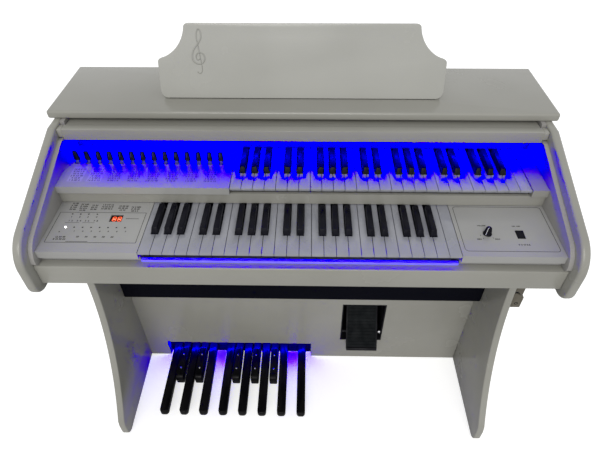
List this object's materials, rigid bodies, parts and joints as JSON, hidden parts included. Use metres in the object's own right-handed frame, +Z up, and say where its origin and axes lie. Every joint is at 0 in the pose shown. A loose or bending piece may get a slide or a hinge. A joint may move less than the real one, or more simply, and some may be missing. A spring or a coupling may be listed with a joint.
{
  "type": "two-manual home organ",
  "caption": "Home organ in a low lacquered console with stepped manuals, a sliding key cover, voice tabs, a music desk, a short pedalboard and a swell pedal.",
  "frame": {"origin": "on the floor, under the middle of the console's width and depth", "axes": "+Z up, +X to the player's right, the player sits at -Y"},
  "size_m": [1.073, 0.516, 1.0206],
  "materials": {
    "white_lacquer": "semi-gloss off-white lacquer on board",
    "liner_lacquer": "semi-gloss off-white lacquer on board",
    "white_key": "polished white plastic",
    "black_key": "satin black plastic",
    "black_paint": "satin black",
    "baffle_cloth": "black speaker cloth over board",
    "panel_film": "printed off-white film",
    "red_window": "dark red display window",
    "bright_steel": "bright round bar",
    "blue_light_strip": "blue light strip",
    "tan_wood": "lacquered tan wood",
    "hardboard": "raw hardboard"
  },
  "bodies": {
    "console": {"left_cheek": "white_lacquer", "right_cheek": "white_lacquer", "top_lid": "white_lacquer", "keybed": "white_lacquer", "front_rail": "white_lacquer", "knee_panel": "white_lacquer", "left_leg": "white_lacquer", "right_leg": "white_lacquer", "music_desk": "white_lacquer", "upper_deck": "white_lacquer", "upper_end_block": "white_lacquer", "left_liner": "liner_lacquer", "right_liner": "liner_lacquer", "nameboard": "liner_lacquer", "tab_panel": "panel_film", "left_control_panel": "panel_film", "right_control_panel": "panel_film", "back_panel": "hardboard", "speaker_baffle": "baffle_cloth", "display_window": "red_window", "jack_box": "tan_wood", "pedal_frame": "black_paint", "swell_tray": "black_paint", "upper_light_strip": "blue_light_strip", "lower_light_strip": "blue_light_strip", "pedal_light_strip": "blue_light_strip"},
    "cover_carriage": {"cover_guide_rod": "bright_steel"},
    "cover": {"key_cover": "white_lacquer"},
    "lower_white_keys_1": {"lower_white_keys_1": "white_key"},
    "lower_white_keys_2": {"lower_white_keys_2": "white_key"},
    "lower_white_keys_3": {"lower_white_keys_3": "white_key"},
    "lower_white_keys_4": {"lower_white_keys_4": "white_key"},
    "lower_sharp_keys_1": {"lower_sharp_keys_1": "black_key"},
    "lower_sharp_keys_2": {"lower_sharp_keys_2": "black_key"},
    "lower_sharp_keys_3": {"lower_sharp_keys_3": "black_key"},
    "upper_white_keys_1": {"upper_white_keys_1": "white_key"},
    "upper_white_keys_2": {"upper_white_keys_2": "white_key"},
    "upper_white_keys_3": {"upper_white_keys_3": "white_key"},
    "upper_white_keys_4": {"upper_white_keys_4": "white_key"},
    "upper_sharp_keys_1": {"upper_sharp_keys_1": "black_key"},
    "upper_sharp_keys_2": {"upper_sharp_keys_2": "black_key"},
    "upper_sharp_keys_3": {"upper_sharp_keys_3": "black_key"},
    "voice_tabs_1": {"voice_tabs_1": "black_key"},
    "voice_tabs_2": {"voice_tabs_2": "black_key"},
    "volume_knob": {"volume_knob": "black_paint"},
    "power_rocker": {"power_rocker": "black_paint"},
    "swell_pedal": {"swell_pedal": "black_paint"},
    "pedal_c": {"pedal_c": "black_paint"},
    "pedal_c_sharp": {"pedal_c_sharp": "black_paint"},
    "pedal_d": {"pedal_d": "black_paint"},
    "pedal_d_sharp": {"pedal_d_sharp": "black_paint"},
    "pedal_e": {"pedal_e": "black_paint"},
    "pedal_f": {"pedal_f": "black_paint"},
    "pedal_f_sharp": {"pedal_f_sharp": "black_paint"},
    "pedal_g": {"pedal_g": "black_paint"},
    "pedal_g_sharp": {"pedal_g_sharp": "black_paint"},
    "pedal_a": {"pedal_a": "black_paint"},
    "pedal_a_sharp": {"pedal_a_sharp": "black_paint"},
    "pedal_b": {"pedal_b": "black_paint"},
    "pedal_c_high": {"pedal_c_high": "black_paint"}
  },
  "joints": [
    {"name": "cover_slide", "type": "slide", "parent": "console", "child": "cover_carriage", "axis": [0, -1, 0], "range_m": [0, 0.178]},
    {"name": "cover_tilt", "type": "hinge", "parent": "cover_carriage", "child": "cover", "pos_m": [0, 0.2307, 0.8422], "axis": [1, 0, 0], "range_deg": [0, 15.4]},
    {"name": "lower_white_keys_1_press", "type": "hinge", "parent": "console", "child": "lower_white_keys_1", "pos_m": [-0.22325, -0.014, 0.721], "axis": [1, 0, 0], "range_deg": [0, 2.4], "stiffness_Nm_per_rad": 9, "springref_deg": -3.44},
    {"name": "lower_white_keys_2_press", "type": "hinge", "parent": "console", "child": "lower_white_keys_2", "pos_m": [-0.05875, -0.014, 0.721], "axis": [1, 0, 0], "range_deg": [0, 2.4], "stiffness_Nm_per_rad": 9, "springref_deg": -3.44},
    {"name": "lower_white_keys_3_press", "type": "hinge", "parent": "console", "child": "lower_white_keys_3", "pos_m": [0.10575, -0.014, 0.721], "axis": [1, 0, 0], "range_deg": [0, 2.4], "stiffness_Nm_per_rad": 9, "springref_deg": -3.44},
    {"name": "lower_white_keys_4_press", "type": "hinge", "parent": "console", "child": "lower_white_keys_4", "pos_m": [0.24675, -0.014, 0.721], "axis": [1, 0, 0], "range_deg": [0, 2.4], "stiffness_Nm_per_rad": 9, "springref_deg": -3.44},
    {"name": "lower_sharp_keys_1_press", "type": "hinge", "parent": "console", "child": "lower_sharp_keys_1", "pos_m": [-0.2235, -0.042, 0.715], "axis": [1, 0, 0], "range_deg": [0, 3.3], "stiffness_Nm_per_rad": 5, "springref_deg": -2.86},
    {"name": "lower_sharp_keys_2_press", "type": "hinge", "parent": "console", "child": "lower_sharp_keys_2", "pos_m": [-0.059, -0.042, 0.715], "axis": [1, 0, 0], "range_deg": [0, 3.3], "stiffness_Nm_per_rad": 5, "springref_deg": -2.86},
    {"name": "lower_sharp_keys_3_press", "type": "hinge", "parent": "console", "child": "lower_sharp_keys_3", "pos_m": [0.15275, -0.042, 0.715], "axis": [1, 0, 0], "range_deg": [0, 3.3], "stiffness_Nm_per_rad": 5, "springref_deg": -2.86},
    {"name": "upper_white_keys_1_press", "type": "hinge", "parent": "console", "child": "upper_white_keys_1", "pos_m": [-0.06195, 0.128, 0.764], "axis": [1, 0, 0], "range_deg": [0, 2.4], "stiffness_Nm_per_rad": 9, "springref_deg": -3.44},
    {"name": "upper_white_keys_2_press", "type": "hinge", "parent": "console", "child": "upper_white_keys_2", "pos_m": [0.10255, 0.128, 0.764], "axis": [1, 0, 0], "range_deg": [0, 2.4], "stiffness_Nm_per_rad": 9, "springref_deg": -3.44},
    {"name": "upper_white_keys_3_press", "type": "hinge", "parent": "console", "child": "upper_white_keys_3", "pos_m": [0.26705, 0.128, 0.764], "axis": [1, 0, 0], "range_deg": [0, 2.4], "stiffness_Nm_per_rad": 9, "springref_deg": -3.44},
    {"name": "upper_white_keys_4_press", "type": "hinge", "parent": "console", "child": "upper_white_keys_4", "pos_m": [0.40805, 0.128, 0.764], "axis": [1, 0, 0], "range_deg": [0, 2.4], "stiffness_Nm_per_rad": 9, "springref_deg": -3.44},
    {"name": "upper_sharp_keys_1_press", "type": "hinge", "parent": "console", "child": "upper_sharp_keys_1", "pos_m": [-0.0622, 0.1, 0.758], "axis": [1, 0, 0], "range_deg": [0, 3.3], "stiffness_Nm_per_rad": 5, "springref_deg": -2.86},
    {"name": "upper_sharp_keys_2_press", "type": "hinge", "parent": "console", "child": "upper_sharp_keys_2", "pos_m": [0.1023, 0.1, 0.758], "axis": [1, 0, 0], "range_deg": [0, 3.3], "stiffness_Nm_per_rad": 5, "springref_deg": -2.86},
    {"name": "upper_sharp_keys_3_press", "type": "hinge", "parent": "console", "child": "upper_sharp_keys_3", "pos_m": [0.31405, 0.1, 0.758], "axis": [1, 0, 0], "range_deg": [0, 3.3], "stiffness_Nm_per_rad": 5, "springref_deg": -2.86},
    {"name": "voice_tabs_1_flip", "type": "hinge", "parent": "console", "child": "voice_tabs_1", "pos_m": [-0.4091, 0, 0.7585], "axis": [1, 0, 0], "range_deg": [0, 12]},
    {"name": "voice_tabs_2_flip", "type": "hinge", "parent": "console", "child": "voice_tabs_2", "pos_m": [-0.2425, 0, 0.7585], "axis": [1, 0, 0], "range_deg": [0, 12]},
    {"name": "volume_turn", "type": "hinge", "parent": "console", "child": "volume_knob", "pos_m": [0.3656, -0.1635, 0.7357], "axis": [0, 0, -1], "range_deg": [0, 280]},
    {"name": "power_rock", "type": "hinge", "parent": "console", "child": "power_rocker", "pos_m": [0.4293, -0.1647, 0.7327], "axis": [1, 0, 0], "range_deg": [-12, 0]},
    {"name": "swell_tilt", "type": "hinge", "parent": "console", "child": "swell_pedal", "pos_m": [0.1823, 0.028, 0.13], "axis": [1, 0, 0], "range_deg": [-12, 8]},
    {"name": "pedal_c_press", "type": "hinge", "parent": "console", "child": "pedal_c", "pos_m": [-0.395, 0.2082, 0.023], "axis": [1, 0, 0], "range_deg": [0, 2.1], "stiffness_Nm_per_rad": 60, "springref_deg": -2.86},
    {"name": "pedal_c_sharp_press", "type": "hinge", "parent": "console", "child": "pedal_c_sharp", "pos_m": [-0.36675, 0.2082, 0.023], "axis": [1, 0, 0], "range_deg": [0, 2.1], "stiffness_Nm_per_rad": 60, "springref_deg": -2.86},
    {"name": "pedal_d_press", "type": "hinge", "parent": "console", "child": "pedal_d", "pos_m": [-0.3385, 0.2082, 0.023], "axis": [1, 0, 0], "range_deg": [0, 2.1], "stiffness_Nm_per_rad": 60, "springref_deg": -2.86},
    {"name": "pedal_d_sharp_press", "type": "hinge", "parent": "console", "child": "pedal_d_sharp", "pos_m": [-0.31025, 0.2082, 0.023], "axis": [1, 0, 0], "range_deg": [0, 2.1], "stiffness_Nm_per_rad": 60, "springref_deg": -2.86},
    {"name": "pedal_e_press", "type": "hinge", "parent": "console", "child": "pedal_e", "pos_m": [-0.282, 0.2082, 0.023], "axis": [1, 0, 0], "range_deg": [0, 2.1], "stiffness_Nm_per_rad": 60, "springref_deg": -2.86},
    {"name": "pedal_f_press", "type": "hinge", "parent": "console", "child": "pedal_f", "pos_m": [-0.2255, 0.2082, 0.023], "axis": [1, 0, 0], "range_deg": [0, 2.1], "stiffness_Nm_per_rad": 60, "springref_deg": -2.86},
    {"name": "pedal_f_sharp_press", "type": "hinge", "parent": "console", "child": "pedal_f_sharp", "pos_m": [-0.19725, 0.2082, 0.023], "axis": [1, 0, 0], "range_deg": [0, 2.1], "stiffness_Nm_per_rad": 60, "springref_deg": -2.86},
    {"name": "pedal_g_press", "type": "hinge", "parent": "console", "child": "pedal_g", "pos_m": [-0.169, 0.2082, 0.023], "axis": [1, 0, 0], "range_deg": [0, 2.1], "stiffness_Nm_per_rad": 60, "springref_deg": -2.86},
    {"name": "pedal_g_sharp_press", "type": "hinge", "parent": "console", "child": "pedal_g_sharp", "pos_m": [-0.14075, 0.2082, 0.023], "axis": [1, 0, 0], "range_deg": [0, 2.1], "stiffness_Nm_per_rad": 60, "springref_deg": -2.86},
    {"name": "pedal_a_press", "type": "hinge", "parent": "console", "child": "pedal_a", "pos_m": [-0.1125, 0.2082, 0.023], "axis": [1, 0, 0], "range_deg": [0, 2.1], "stiffness_Nm_per_rad": 60, "springref_deg": -2.86},
    {"name": "pedal_a_sharp_press", "type": "hinge", "parent": "console", "child": "pedal_a_sharp", "pos_m": [-0.08425, 0.2082, 0.023], "axis": [1, 0, 0], "range_deg": [0, 2.1], "stiffness_Nm_per_rad": 60, "springref_deg": -2.86},
    {"name": "pedal_b_press", "type": "hinge", "parent": "console", "child": "pedal_b", "pos_m": [-0.056, 0.2082, 0.023], "axis": [1, 0, 0], "range_deg": [0, 2.1], "stiffness_Nm_per_rad": 60, "springref_deg": -2.86},
    {"name": "pedal_c_high_press", "type": "hinge", "parent": "console", "child": "pedal_c_high", "pos_m": [0.0005, 0.2082, 0.023], "axis": [1, 0, 0], "range_deg": [0, 2.1], "stiffness_Nm_per_rad": 60, "springref_deg": -2.86}
  ],
  "couplings": [
    {"joint": "cover_tilt", "follows": "cover_slide", "rad_per_m": 1.5}
  ]
}
